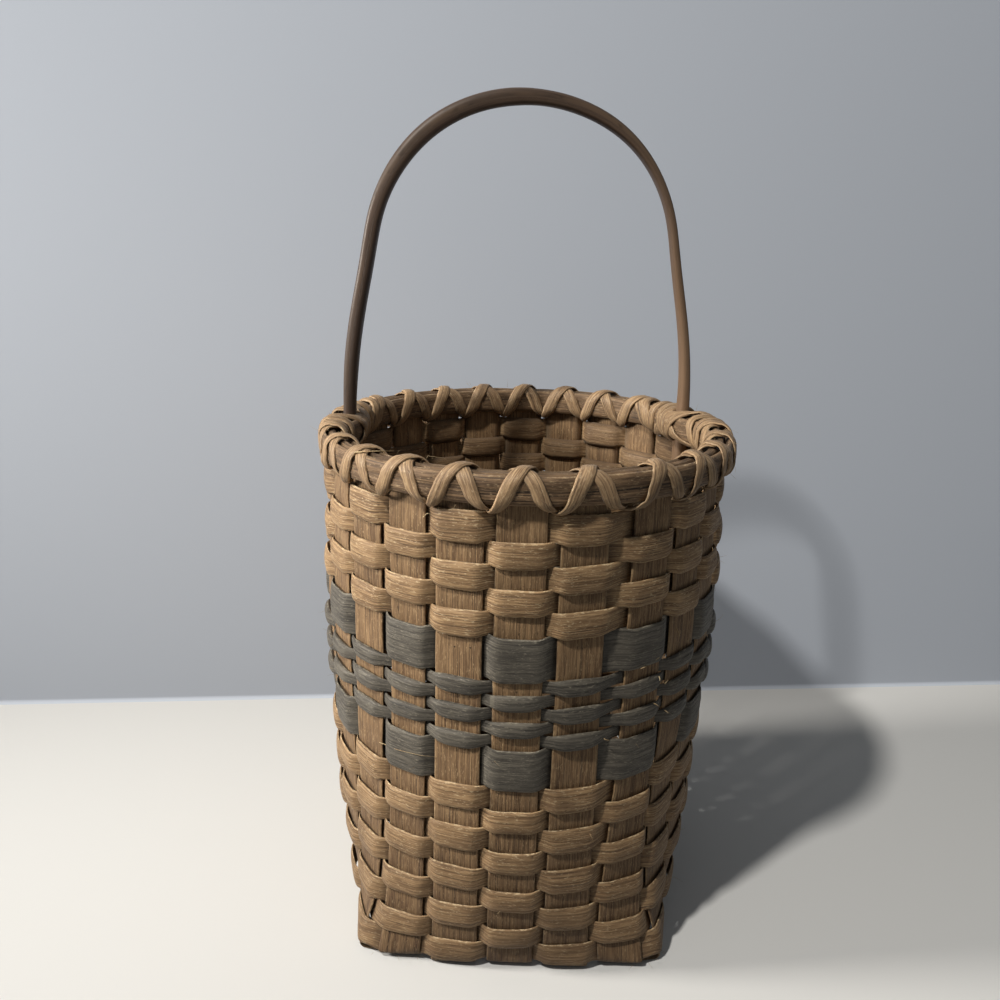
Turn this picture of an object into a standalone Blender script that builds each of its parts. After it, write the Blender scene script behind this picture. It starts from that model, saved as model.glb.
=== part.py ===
"""A small splint basket with a round rim, an oblong base and a fixed bow handle.

Metres, +Z up. The origin is on the table, under the middle of the basket. The short side of the
base, which has five stakes, faces -Y. Twelve long splints cross on the base in plain weave and
turn up into twenty four stakes. Closed rows of splint weave round them, two hoops clamp their
tops, the bow handle stands between the stakes and the inner hoop, and two lashers bind the rim.
"""

import math

import bmesh
import bpy
import numpy as np
from mathutils import Vector

MILLIMETRE = 0.001

# Splints
STAKE_WIDTH = 0.0159
STAKE_THICKNESS = 0.0010
WEAVER_THICKNESS = 0.0008
LASHER_WIDTH = 0.0060
LASHER_THICKNESS = 0.0007
CLEARANCE = 0.0003

# Stakes, counted across the front and along a side
FRONT_STAKES = 5
SIDE_STAKES = 7
STAKES = 2 * (FRONT_STAKES + SIDE_STAKES)
BASE_STAKE_GAP = 0.0043
RIM_STAKE_GAP = 0.0039
RIM_DEPTH_SHARE = 1.0785
BEND_RADIUS = 0.0012

# How far on from its even place each stake leans at the rim, as a share of the spacing, counted from
# the middle of the front by way of +X: the basket is hand made, and its right side is turned a little
STAKE_LEAN_SHARES = (
    0, 0.03, 0.30, 0.31, 0.27, 0.22, 0.17, 0.14, 0.14, 0.14, 0.13, 0.09,
    0.04, 0, -0.04, -0.07, -0.05, -0.02, 0, 0, 0, 0.02, 0.02, 0,
)
LEAN_HEIGHT = 0.120

# The wall leaves the base's outline, flares to the rim's ellipse and swells a little above the middle
FLARE_HEIGHT = 0.020
SWELL_HEIGHT = 0.120
SWELL_SPREAD = 0.030
SWELL_SHARE = 0.08

# Rows, from the table up
LOWER_ROWS = 9
NARROW_ROWS = 5
UPPER_ROWS = 5
LOWER_ROW_HEIGHT = 0.0080
WIDE_ROW_HEIGHT = 0.0156
NARROW_ROW_HEIGHT = 0.0049
UPPER_ROW_HEIGHT = 0.0079

# Rim
BARE_BAND_HEIGHT = 0.0019
HOOP_HEIGHT = 0.0097
HOOP_THICKNESS = 0.0024
HOOP_BEVEL = 0.0007
LASHER_CORNER = 0.0015
LASHER_SEAT = 0.0006
LASHER_GAP = 0.0005
LASHER_BULGE_SHARE = 1.10

# Handle
HANDLE_WIDTH = 0.0064
HANDLE_THICKNESS = 0.0046
HANDLE_BEVEL = 0.0012
HANDLE_RISE = 0.1220
HANDLE_RADIUS = 0.0587
HANDLE_FULLNESS_SHARE = 1.4
HANDLE_SEAT = 0.0030
HANDLE_TAIL = 0.0550
HANDLE_RAMP = 0.0180
RIGHT_FOOT = 7.4
LEFT_FOOT = 17.75

# What follows from the sizes above
BASE_PITCH = STAKE_WIDTH + BASE_STAKE_GAP
RIM_PITCH = STAKE_WIDTH + RIM_STAKE_GAP
HALF_FLAT = STAKE_WIDTH / 2 + CLEARANCE
BASE_CORNER = BASE_PITCH * 2 / math.pi
BASE_LEVEL = STAKE_THICKNESS + CLEARANCE / 2
BASE_STEP = (STAKE_THICKNESS + CLEARANCE) / 2
WEAVER_OFFSET = STAKE_THICKNESS / 2 + CLEARANCE + WEAVER_THICKNESS / 2
WALL_FACE = WEAVER_OFFSET + WEAVER_THICKNESS / 2 + CLEARANCE
HOOP_OFFSET = WALL_FACE + HOOP_THICKNESS / 2
HOOP_FACE = WALL_FACE + HOOP_THICKNESS
LASHER_LAYER = LASHER_THICKNESS + LASHER_GAP
LASHER_BOTTOM_WIDTH = RIM_STAKE_GAP - 2 * LASHER_GAP
HANDLE_OFFSET = WALL_FACE + CLEARANCE + HANDLE_THICKNESS / 2
HANDLE_ROOM = HANDLE_WIDTH / 2 + 2 * CLEARANCE
FOOT_BULGE = HANDLE_THICKNESS + 2 * CLEARANCE
ROWS_BOTTOM = BASE_LEVEL + BASE_STEP + BEND_RADIUS

# Small steps that the surfaces are sampled with
OUTLINE_STEPS = 240
LOOK_SHARE = 0.01
LOOK_HEIGHT = 0.0004
LEG_STEPS = 8
TAIL_STEPS = 5
ARCH_STEPS = 26
BULGE_STEPS = 6
CROSSING_STEPS = 8
CROWN_SHARE = 0.12
RIDGE_SHARE = 0.07
BETWEEN_STAKES = 0.5
FOLDED_ROWS = 6
STAKE_STEP_SHARE = 1.5
EDGE_ANGLE = 50

NATURAL = ("natural splint", (0.36, 0.21, 0.095), 0.62)
STAKE_FINISH = ("stake splint", (0.31, 0.175, 0.078), 0.62)
DYED = ("dyed splint", (0.095, 0.105, 0.10), 0.66)
LASHING = ("lashing splint", (0.33, 0.19, 0.085), 0.58)
HANDLE_FINISH = ("bent wood", (0.20, 0.10, 0.045), 0.45)


def rounded_rectangle(half_width, half_depth, radius):
    """A closed outline from the middle of the front, going round by way of +X."""
    turns = np.linspace(0, math.pi / 2, OUTLINE_STEPS)
    core_x = half_width - radius
    core_y = half_depth - radius
    points = [(0, -half_depth)]
    for corner, (side_x, side_y) in enumerate(((1, -1), (1, 1), (-1, 1), (-1, -1))):
        angles = turns + (corner - 1) * math.pi / 2
        x = side_x * core_x + radius * np.cos(angles)
        y = side_y * core_y + radius * np.sin(angles)
        points += list(zip(x, y))
    points.append((0, -half_depth))
    return np.array(points)


def ellipse(half_width, half_depth):
    """A closed outline from the middle of the front, going round by way of +X."""
    angles = np.linspace(-math.pi / 2, 1.5 * math.pi, 4 * OUTLINE_STEPS)
    return np.stack([half_width * np.cos(angles), half_depth * np.sin(angles)], axis=1)


def length_marks(outline):
    """Distance from the start to each point of an outline."""
    steps = np.hypot(*np.diff(outline, axis=0).T)
    return np.concatenate([[0], np.cumsum(steps)])


def place_on(outline, marks, share):
    """The point at a share of an outline's length."""
    distance = (share % 1) * marks[-1]
    return np.array([np.interp(distance, marks, outline[:, 0]), np.interp(distance, marks, outline[:, 1])])


BASE_OUTLINE = rounded_rectangle(
    (FRONT_STAKES - 1) * BASE_PITCH / 2 + BASE_CORNER,
    (SIDE_STAKES - 1) * BASE_PITCH / 2 + BASE_CORNER,
    BASE_CORNER,
)
BASE_MARKS = length_marks(BASE_OUTLINE)
UNIT_RIM = ellipse(1, RIM_DEPTH_SHARE)
RIM_OUTLINE = UNIT_RIM * STAKES * RIM_PITCH / length_marks(UNIT_RIM)[-1]
RIM_MARKS = length_marks(RIM_OUTLINE)


def leaning(place, z):
    """Where a place on the ring of stakes lies at a height, once the stakes have leaned."""
    lean = np.interp(place % STAKES, range(STAKES + 1), [*STAKE_LEAN_SHARES, STAKE_LEAN_SHARES[0]])
    return place + lean * math.sin(math.pi / 2 * min(z / LEAN_HEIGHT, 1)) ** 2


def flare(z):
    """How far the wall has gone from the base's outline to the rim's at a height."""
    swell = SWELL_SHARE * math.exp(-(((z - SWELL_HEIGHT) / SWELL_SPREAD) ** 2))
    return 1 - math.exp(-z / FLARE_HEIGHT) + swell


def wall(stake, z):
    """A point of the stakes' middle surface. Stakes count round from the middle of the front."""
    share = leaning(stake, z) / STAKES
    low = place_on(BASE_OUTLINE, BASE_MARKS, share)
    high = place_on(RIM_OUTLINE, RIM_MARKS, share)
    x, y = low + (high - low) * flare(z)
    return Vector((x, y, z))


def stake_frame(stake, z):
    """Middle point, sideways direction and outward direction of one flat stake at a height."""
    across = wall(stake + LOOK_SHARE, z) - wall(stake - LOOK_SHARE, z)
    upward = wall(stake, z + LOOK_HEIGHT) - wall(stake, z - LOOK_HEIGHT)
    return wall(stake, z), across.normalized(), across.cross(upward).normalized()


def flat_frame(place, z):
    """The same anywhere on the ring of flats that the stakes and the gaps between them make."""
    stake = round(place)
    here, across, out = stake_frame(stake, z)
    slip = (place - stake) * RIM_PITCH
    way = 1 if slip >= 0 else -1
    if abs(slip) <= HALF_FLAT:
        return here + across * slip, across, out
    there, next_across, next_out = stake_frame(stake + way, z)
    edge = here + across * way * HALF_FLAT
    next_edge = there - next_across * way * HALF_FLAT
    share = (abs(slip) - HALF_FLAT) / (RIM_PITCH - 2 * HALF_FLAT)
    turned = across.lerp(next_across, share)
    return edge.lerp(next_edge, share), turned.normalized(), out.lerp(next_out, share).normalized()


def stretch(place, z):
    """How many times wider than even the ring is at a place. It is 1 on every stake."""
    before, after = (flat_frame(place + way * LOOK_SHARE, z)[0] for way in (-1, 1))
    return (after - before).length / (2 * LOOK_SHARE * RIM_PITCH)


def foot_bulge(place):
    """How far the inner hoop stands in from the wall to pass round a foot of the handle."""
    half_round = STAKES / 2
    nearest = min(abs((place - foot + half_round) % STAKES - half_round) for foot in (RIGHT_FOOT, LEFT_FOOT))
    ramp = min(max((nearest * RIM_PITCH - HANDLE_ROOM) / HANDLE_RAMP, 0), 1)
    return FOOT_BULGE * (1 + math.cos(math.pi * ramp)) / 2


def row_table():
    """Name, bottom, top and material of each woven row, from the table up."""
    kinds = (
        [("lower", LOWER_ROW_HEIGHT, NATURAL)] * LOWER_ROWS
        + [("wide_dyed", WIDE_ROW_HEIGHT, DYED)]
        + [("narrow_dyed", NARROW_ROW_HEIGHT, DYED)] * NARROW_ROWS
        + [("wide_dyed", WIDE_ROW_HEIGHT, DYED)]
        + [("upper", UPPER_ROW_HEIGHT, NATURAL)] * UPPER_ROWS
    )
    rows = []
    bottom = ROWS_BOTTOM
    for number, (kind, height, finish) in enumerate(kinds, 1):
        rows.append((f"weaver_{number:02d}_{kind}", bottom, bottom + height, finish))
        bottom += height
    return rows


ROWS = row_table()
ROWS_TOP = ROWS[-1][2]
HOOP_BOTTOM = ROWS_TOP + BARE_BAND_HEIGHT + LASHER_SEAT + 2 * LASHER_LAYER
HOOP_TOP = HOOP_BOTTOM + HOOP_HEIGHT


def material(finish):
    """The plain material of a sub-part, made once."""
    name, colour, roughness = finish
    found = bpy.data.materials.get(name)
    if found:
        return found
    made = bpy.data.materials.new(name)
    made.use_nodes = True
    shader = made.node_tree.nodes["Principled BSDF"]
    shader.inputs["Base Color"].default_value = (*colour, 1)
    shader.inputs["Roughness"].default_value = roughness
    shader.inputs["Metallic"].default_value = 0
    made.diffuse_color = (*colour, 1)
    return made


def ribbon(name, lows, highs, thickness, finish, closed=False, bevel=0):
    """A flat splint between two rows of points. The open surface gets its thickness from Solidify."""
    bm = bmesh.new()
    low = [bm.verts.new(point) for point in lows]
    high = [bm.verts.new(point) for point in highs]
    for here in range(len(low) if closed else len(low) - 1):
        after = (here + 1) % len(low)
        # A twisted flat folds outwards, so that a stake and the row against it fold alike.
        rising = (low[here].co + high[after].co).xy.length
        falling = (low[after].co + high[here].co).xy.length
        if rising >= falling:
            bm.faces.new((low[here], low[after], high[after]))
            bm.faces.new((low[here], high[after], high[here]))
        else:
            bm.faces.new((low[here], low[after], high[here]))
            bm.faces.new((low[after], high[after], high[here]))
    mesh = bpy.data.meshes.new(name)
    bm.to_mesh(mesh)
    bm.free()
    obj = bpy.data.objects.new(name, mesh)
    mesh.materials.append(material(finish))
    shell = obj.modifiers.new("thickness", "SOLIDIFY")
    shell.thickness = thickness
    shell.offset = 0
    shell.use_even_offset = True
    if bevel:
        edges = obj.modifiers.new("rounded edges", "BEVEL")
        edges.width = bevel
        edges.segments = 1
        edges.limit_method = "ANGLE"
        edges.angle_limit = math.radians(EDGE_ANGLE)
    return obj


def row_margin(z):
    """How far a row stays inside its own height. It is more low down, where the rows lean outwards."""
    return CLEARANCE / 2 + WEAVER_THICKNESS / 2 * math.exp(-z / FLARE_HEIGHT)


def weaver(name, number, bottom, top, finish):
    """One closed row, outside the stakes whose parity is its own and inside the others."""
    edges = []
    for z in (bottom + row_margin(bottom), top - row_margin(top)):
        points = []
        for stake in range(STAKES):
            here, across, out = stake_frame(stake, z)
            side = 1 if (stake + number) % 2 == 0 else -1
            for way in (-1, 1):
                points.append(here + across * way * HALF_FLAT + out * side * WEAVER_OFFSET)
        edges.append(points)
    return ribbon(name, *edges, WEAVER_THICKNESS, finish, closed=True)


def stake_heights():
    """Heights at which a stake bends: at every row low down, where it curves most, and seldomer above."""
    edges = [bottom for _, bottom, _, _ in ROWS]
    chosen = edges[:FOLDED_ROWS]
    for edge in edges[FOLDED_ROWS:]:
        if edge - chosen[-1] > STAKE_STEP_SHARE * LOWER_ROW_HEIGHT:
            chosen.append(edge)
    return [*chosen, ROWS_TOP, HOOP_TOP - CLEARANCE]


def splint(name, place, count, near_stake, far_stake, forward):
    """One long splint: down one wall, across the base in plain weave and up the opposite wall."""
    sideways = Vector((abs(forward.y), abs(forward.x), 0))
    line = sideways * place
    last = (count - 1) // 2
    # The splints of the two directions pass over at opposite crossings.
    parity = round(place / BASE_PITCH) + round(forward.y)

    def level(step):
        return BASE_LEVEL + BASE_STEP * (1 if (parity + step) % 2 == 0 else -1)

    ends = []
    for stake, way in ((near_stake, -1), (far_stake, 1)):
        turn = level(last)
        points = [(wall(stake, turn) - forward * way * BEND_RADIUS, sideways)]
        for z in [turn + BEND_RADIUS, *stake_heights()]:
            if z > points[-1][0].z + LOOK_HEIGHT:
                here, across, _ = stake_frame(stake, z)
                points.append((here, across * (1 if across.dot(sideways) > 0 else -1)))
        ends.append(points)
    path = ends[0][::-1]
    for step in range(-last, last + 1):
        for way in (-1, 1):
            run = forward * (step * BASE_PITCH + way * HALF_FLAT)
            path.append((line + run + Vector((0, 0, level(step))), sideways))
    path += ends[1]
    right = [point + across * STAKE_WIDTH / 2 for point, across in path]
    left = [point - across * STAKE_WIDTH / 2 for point, across in path]
    return ribbon(name, right, left, STAKE_THICKNESS, STAKE_FINISH)


def splints():
    """The splints that make the base and the stakes: five run front to back and seven side to side."""
    made = []
    for number in range(FRONT_STAKES):
        step = number - (FRONT_STAKES - 1) // 2
        made.append(
            splint(
                f"stake_front_to_back_{number + 1}",
                step * BASE_PITCH,
                SIDE_STAKES,
                step,
                STAKES / 2 - step,
                Vector((0, 1, 0)),
            )
        )
    for number in range(SIDE_STAKES):
        step = number - (SIDE_STAKES - 1) // 2
        made.append(
            splint(
                f"stake_side_to_side_{number + 1}",
                step * BASE_PITCH,
                FRONT_STAKES,
                STAKES * 3 / 4 - step,
                STAKES / 4 + step,
                Vector((1, 0, 0)),
            )
        )
    return made


def hoop(name, side):
    """A hoop against the outside (side 1) or the inside (side -1) of the stakes' tops."""
    flat = HALF_FLAT / RIM_PITCH
    least = 2 * HOOP_BEVEL / RIM_PITCH
    places = [stake + way * flat for stake in range(STAKES) for way in (-1, 1)]
    if side < 0:
        # Round the handle's feet the hoop bends between its corners too, though not right beside one.
        for foot in (RIGHT_FOOT, LEFT_FOOT):
            for step in range(BULGE_STEPS + 1):
                away = (HANDLE_ROOM + HANDLE_RAMP * step / BULGE_STEPS) / RIM_PITCH
                for bend in (foot - away, foot + away):
                    if min(abs(bend - place) for place in places) > least:
                        places.append(bend)
    edges = []
    for z in (HOOP_BOTTOM, HOOP_TOP):
        points = []
        for place in sorted(places):
            here, _, out = flat_frame(place, z)
            inward = foot_bulge(place) if side < 0 else 0
            points.append(here + out * side * (HOOP_OFFSET + inward))
        edges.append(points)
    return ribbon(name, *edges, HOOP_THICKNESS, NATURAL, closed=True, bevel=HOOP_BEVEL)


def lasher_turns(way, level):
    """Place, offset, height and half width of a lasher all round the rim.

    It goes through every gap between two stakes, apart from the two where a foot of the handle stands,
    and it crosses over the rim beside the foot.
    """
    beside = CROWN_SHARE + (HANDLE_ROOM + LASHER_WIDTH / 2 + CLEARANCE) / RIM_PITCH
    lift = level * LASHER_LAYER + LASHER_SEAT + LASHER_THICKNESS / 2
    side = HOOP_FACE + lift
    top = HOOP_TOP + lift
    shoulder = top - LASHER_CORNER
    bottom = HOOP_BOTTOM - lift
    narrow = LASHER_BOTTOM_WIDTH / 2
    wide = LASHER_WIDTH / 2
    gaps = [stake + BETWEEN_STAKES for stake in range(STAKES)]
    gaps = [gap for gap in gaps if min(abs(gap - RIGHT_FOOT), abs(gap - LEFT_FOOT)) > BETWEEN_STAKES]
    gaps = gaps[::way]
    turns = []
    for here, after in zip(gaps, gaps[1:] + gaps[:1]):
        there = here + (after - here) * way % STAKES * way
        crown = here + way * BETWEEN_STAKES
        for foot in (RIGHT_FOOT, LEFT_FOOT):
            if abs(foot - crown) < beside:
                crown = foot - way * beside
        start = crown + way * CROWN_SHARE
        turns += [
            (here, side, bottom, narrow),
            (crown - way * CROWN_SHARE, side, shoulder, wide),
            (crown - way * RIDGE_SHARE, side - LASHER_CORNER, top, wide),
            (crown + way * RIDGE_SHARE, LASHER_CORNER - side, top, wide),
            (start, -side, shoulder, wide),
        ]
        if foot_bulge(crown) or foot_bulge(there):
            for step in range(1, CROSSING_STEPS):
                share = step / CROSSING_STEPS
                place = start + (there - start) * share
                z = shoulder + (bottom - shoulder) * share
                turns.append((place, -side, z, wide + (narrow - wide) * share))
        turns.append((there, -side, bottom, narrow))
    return turns


def least_self_gap(edges):
    """The least space between two turns of a strip, measured on points of its edges and middle line."""
    left, right = (np.array(edge) for edge in edges)
    points = np.stack([left, (left + right) / 2, right], axis=1)
    steps = np.linalg.norm(np.diff(points[:, 1], axis=0, append=points[:1, 1]), axis=1)
    marks = np.concatenate([[0], np.cumsum(steps)])
    apart = 2 * LASHER_WIDTH
    least = math.inf
    for here in range(len(points)):
        along = np.abs(marks[:-1] - marks[here])
        along = np.minimum(along, marks[-1] - along)
        others = points[along > apart].reshape(-1, 1, 3)
        least = min(least, np.linalg.norm(others - points[here], axis=2).min())
    return least - LASHER_THICKNESS


def lasher(name, way, level):
    """A flat strip wound round both hoops, one turn for each gap between stakes."""
    edges = ([], [])
    for place, offset, z, half in lasher_turns(way, level):
        reach = half / RIM_PITCH / max(stretch(place, z), 1)
        for edge, end in zip(edges, (place - reach, place + reach)):
            here, _, out = flat_frame(end, z)
            inward = foot_bulge(end) * LASHER_BULGE_SHARE if offset < 0 else 0
            edge.append(here + out * (offset - inward))
    print(f"{name}: least gap to itself {least_self_gap(edges) / MILLIMETRE:.1f} mm")
    return ribbon(name, *edges, LASHER_THICKNESS, LASHING, closed=True)


def arm(foot, leg_way, end, end_way):
    """Points from a foot to the arch, on a curve that leaves the rim the way the leg goes."""
    reach = (end - foot).length
    points = []
    for step in range(1, LEG_STEPS):
        share = step / LEG_STEPS
        rest = 1 - share
        away = leg_way * reach * HANDLE_FULLNESS_SHARE * share * rest**2
        home = end_way * reach * rest * share**2
        points.append(foot * rest**2 * (1 + 2 * share) + away + end * share**2 * (1 + 2 * rest) - home)
    return points


def handle(name):
    """A bow whose legs stand inside the stakes, behind the inner hoop, and meet in a round arch."""
    seat = HOOP_TOP + HANDLE_SEAT
    heights = np.linspace(HOOP_BOTTOM - HANDLE_TAIL, seat, TAIL_STEPS)
    legs = []
    for foot in (LEFT_FOOT, RIGHT_FOOT):
        leg = []
        for z in heights:
            here, across, out = flat_frame(foot, z)
            leg.append((here - out * HANDLE_OFFSET, across * (1 if across.y > 0 else -1)))
        legs.append(leg)
    left, right = legs[0][-1][0], legs[1][-1][0]
    middle = (left + right) / 2
    span = right - left
    half = span.length / 2
    span.normalize()
    square = Vector((-span.y, span.x, 0))
    centre = HOOP_TOP + HANDLE_RISE - HANDLE_THICKNESS / 2 - HANDLE_RADIUS - seat
    reach = math.hypot(half, centre)
    start = math.acos(HANDLE_RADIUS / reach) - math.atan2(centre, half)
    arch = []
    for angle in np.linspace(math.pi - start, start, ARCH_STEPS):
        rise = centre + HANDLE_RADIUS * math.sin(angle)
        arch.append((middle + span * HANDLE_RADIUS * math.cos(angle) + Vector((0, 0, rise)), square))
    sides = []
    for leg, end, inward in ((legs[0], arch[0][0], span), (legs[1], arch[-1][0], -span)):
        (below, _), (foot, across) = leg[-2:]
        end_way = inward * math.sin(start) + Vector((0, 0, math.cos(start)))
        points = arm(foot, (foot - below).normalized(), end, end_way)
        turns = [across.lerp(square, (step + 1) / LEG_STEPS).normalized() for step in range(len(points))]
        sides.append([*leg, *zip(points, turns)])
    path = [*sides[0], *arch, *reversed(sides[1])]
    near = [point - across * HANDLE_WIDTH / 2 for point, across in path]
    far = [point + across * HANDLE_WIDTH / 2 for point, across in path]
    return ribbon(name, near, far, HANDLE_THICKNESS, HANDLE_FINISH, bevel=HANDLE_BEVEL)


def clear_scene():
    for obj in list(bpy.data.objects):
        bpy.data.objects.remove(obj, do_unlink=True)


def main():
    clear_scene()
    collection = bpy.data.collections.new("pack_basket")
    bpy.context.scene.collection.children.link(collection)
    origin = bpy.data.objects.new("basket_origin", None)
    collection.objects.link(origin)
    pieces = splints()
    for number, (name, bottom, top, finish) in enumerate(ROWS, 1):
        pieces.append(weaver(name, number, bottom, top, finish))
    pieces.append(
        weaver(
            f"weaver_{len(ROWS) + 1}_rim_row",
            len(ROWS) + 1,
            HOOP_BOTTOM + HOOP_BEVEL,
            HOOP_TOP - HOOP_BEVEL,
            NATURAL,
        )
    )
    pieces.append(hoop("rim_outer_hoop", 1))
    pieces.append(hoop("rim_inner_hoop", -1))
    pieces.append(lasher("rim_lasher_under", -1, 0))
    pieces.append(lasher("rim_lasher_over", 1, 1))
    pieces.append(handle("bow_handle"))
    for piece in pieces:
        collection.objects.link(piece)
        piece.parent = origin


main()
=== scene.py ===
"""Looks of the small splint basket: detailed splints, lashing, bow handle, loose fibres, floor and light.

Metres, +Z up. The wall follows the same formula as in the CAD, with the same values, and each piece takes
the place of a CAD node. A place counts the stakes round the basket, from the middle one of the front by
way of +X, and half way between two stakes is a gap.
"""

import math

import bpy
import numpy as np
from mathutils import Euler, Matrix, Vector


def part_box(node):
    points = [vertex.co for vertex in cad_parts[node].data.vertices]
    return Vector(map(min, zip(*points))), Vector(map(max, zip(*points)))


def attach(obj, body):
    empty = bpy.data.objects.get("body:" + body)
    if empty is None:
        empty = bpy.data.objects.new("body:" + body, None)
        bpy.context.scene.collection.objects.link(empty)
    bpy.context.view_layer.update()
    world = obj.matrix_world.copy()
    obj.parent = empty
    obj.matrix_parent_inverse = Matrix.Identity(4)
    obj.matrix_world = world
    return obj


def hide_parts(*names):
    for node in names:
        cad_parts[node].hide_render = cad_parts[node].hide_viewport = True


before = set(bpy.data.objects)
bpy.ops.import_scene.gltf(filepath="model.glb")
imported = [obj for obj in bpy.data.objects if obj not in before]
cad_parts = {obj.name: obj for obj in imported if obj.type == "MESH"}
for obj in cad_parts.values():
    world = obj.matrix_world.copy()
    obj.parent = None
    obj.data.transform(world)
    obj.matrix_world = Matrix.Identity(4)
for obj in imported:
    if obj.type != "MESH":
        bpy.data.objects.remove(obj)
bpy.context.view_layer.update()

MILLIMETRE = 0.001

# Splints, as in the CAD
STAKE_WIDTH = 0.0159
STAKE_THICKNESS = 0.0010
WEAVER_THICKNESS = 0.0008
CLEARANCE = 0.0003
FRONT_STAKES = 5
SIDE_STAKES = 7
STAKES = 2 * (FRONT_STAKES + SIDE_STAKES)
BASE_STAKE_GAP = 0.0043
RIM_STAKE_GAP = 0.0039
RIM_DEPTH_SHARE = 1.0785

# The wall's form, as in the CAD
FLARE_HEIGHT = 0.020
SWELL_HEIGHT = 0.120
SWELL_SPREAD = 0.030
SWELL_SHARE = 0.08
LEAN_HEIGHT = 0.120
STAKE_LEAN_SHARES = (
    0, 0.03, 0.30, 0.31, 0.27, 0.22, 0.17, 0.14, 0.14, 0.14, 0.13, 0.09,
    0.04, 0, -0.04, -0.07, -0.05, -0.02, 0, 0, 0, 0.02, 0.02, 0,
)
BASE_PITCH = STAKE_WIDTH + BASE_STAKE_GAP
RIM_PITCH = STAKE_WIDTH + RIM_STAKE_GAP
HALF_FLAT = STAKE_WIDTH / 2 + CLEARANCE
BASE_CORNER = BASE_PITCH * 2 / math.pi
BASE_LEVEL = STAKE_THICKNESS + CLEARANCE / 2
BASE_STEP = (STAKE_THICKNESS + CLEARANCE) / 2
WALL_FACE = STAKE_THICKNESS / 2 + WEAVER_THICKNESS + 2 * CLEARANCE

# Rows: how far apart they lie, and how tall they show over an odd and over an even row's stakes
ROW_KINDS = {
    "lower": (0.0080, 0.0097, 0.0086),
    "wide_dyed": (0.0156, 0.0155, 0.0155),
    "narrow_dyed": (0.0049, 0.0064, 0.0061),
    "upper": (0.0079, 0.0096, 0.0092),
}
ROW_ORDER = ["lower"] * 9 + ["wide_dyed"] + ["narrow_dyed"] * 5 + ["wide_dyed"] + ["upper"] * 5
ROW_BEND = 0.0012

# How a row runs: its bulge over a stake, its height between two stakes as a share of the rows' distance,
# how soon it is at its full height, how softly it dives, its thickness, ridges, their relief, and crown
ROW_LOOKS = {
    "lower": (0.0018, 1.03, 0.55, 0.13, 0.00095, 12, 0.000100, 0.00065),
    "upper": (0.0019, 1.03, 0.55, 0.13, 0.00095, 12, 0.000110, 0.00065),
    "wide_dyed": (0.0018, 1.00, 0.40, 0.07, 0.00100, 19, 0.000090, 0.00055),
    "narrow_dyed": (0.0017, 0.86, 0.85, 0.26, 0.00250, 6, 0.000150, 0.00015),
    "rim": (0.0010, 1.00, 0.50, 0.13, 0.00080, 8, 0.000050, 0.00010),
}
ROW_SEAM_PLACE = 10.5
SIDE_LOW_OUT = 0.0020
RIGHT_FLATTER = 0.0020
LEFT_FLATTER = 0.0007
ROW_END_RISE_SHARE = 0.07
FIRST_ROW_BULGE_SHARE = 0.72
TOP_ROW_RISE = 0.0012

# Rim
HOOP_HEIGHT = 0.0097
HOOP_THICKNESS = 0.0026
LASHER_WIDTH = 0.0051
LASHER_THICKNESS = 0.0009
LASHER_SEAT = 0.0003
LASHER_LAYER = 0.0009
CROWN_SHARE = 0.12
RIM_HALF_THICKNESS = 0.0047
RIM_HALF_HEIGHT = 0.0054
RIM_SQUARENESS = 2.6

# Handle, as in the CAD
HANDLE_WIDTH = 0.0064
HANDLE_THICKNESS = 0.0046
HANDLE_RISE = 0.1220
HANDLE_RADIUS = 0.0587
HANDLE_FULLNESS_SHARE = 1.4
HANDLE_SEAT = 0.0030
HANDLE_TAIL = 0.0550
HANDLE_RAMP = 0.0180
RIGHT_FOOT = 7.4
LEFT_FOOT = 17.75
HANDLE_OFFSET = WALL_FACE + CLEARANCE + HANDLE_THICKNESS / 2
HANDLE_ROOM = HANDLE_WIDTH / 2 + 2 * CLEARANCE
FOOT_BULGE = HANDLE_THICKNESS + 2 * CLEARANCE

# The bow is shaved by hand: how much thicker than its stock it is, in millimetres, outside and inside,
# at heights up its left and right arms, and how far its left arm is twisted
BOW_HEIGHTS = (0.190, 0.204, 0.218, 0.230, 0.243, 0.256, 0.267, 0.278, 0.288, 0.295, 0.3045)
LEFT_OUTSIDE = (0, 0, 0, 0, 0, 0, 0, 0.1, 0.3, 0.3, -0.2)
LEFT_INSIDE = (0.2, 0.5, 0.6, 0.6, 0.7, 0.9, 1.1, 1.4, 1.5, 1.6, 2.0)
RIGHT_OUTSIDE = (0.9, 0.7, 0.4, 0.3, 0.2, 0.1, 0.1, 0.3, 0.5, 0.4, -0.5)
RIGHT_INSIDE = (-1.3, -1.3, -1.3, -1.3, -1.4, -1.5, -1.5, -1.4, -1.0, 0, 1.6)
LEFT_TWIST = 0.24

# Wraps beside the handle's feet: the gap that each goes through below, and the place of its top
FOOT_WRAPS = (
    (6.5, 6.35), (6.5, 6.75), (7.5, 7.08), (7.5, 7.74), (7.5, 8.02), (8.5, 8.32), (8.5, 8.78),
    (16.5, 16.28), (16.5, 16.72), (17.5, 17.12), (17.5, 17.42), (17.5, 18.06), (18.5, 18.36), (18.5, 18.72),
)
WRAP_WIDTH = 0.0047
WRAP_THICKNESS = 0.0013
WRAP_LIFT = 0.0007

# Camera, as the photograph was taken
PICTURE = 1000
CAMERA_DISTANCE = 0.3762
CAMERA_OVER_RIM = 0.0803
CAMERA_PITCH = 0.275
CAMERA_YAW = 0.0238
CAMERA_ROLL = 0.0237
CAMERA_LENS = 36.0

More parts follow.
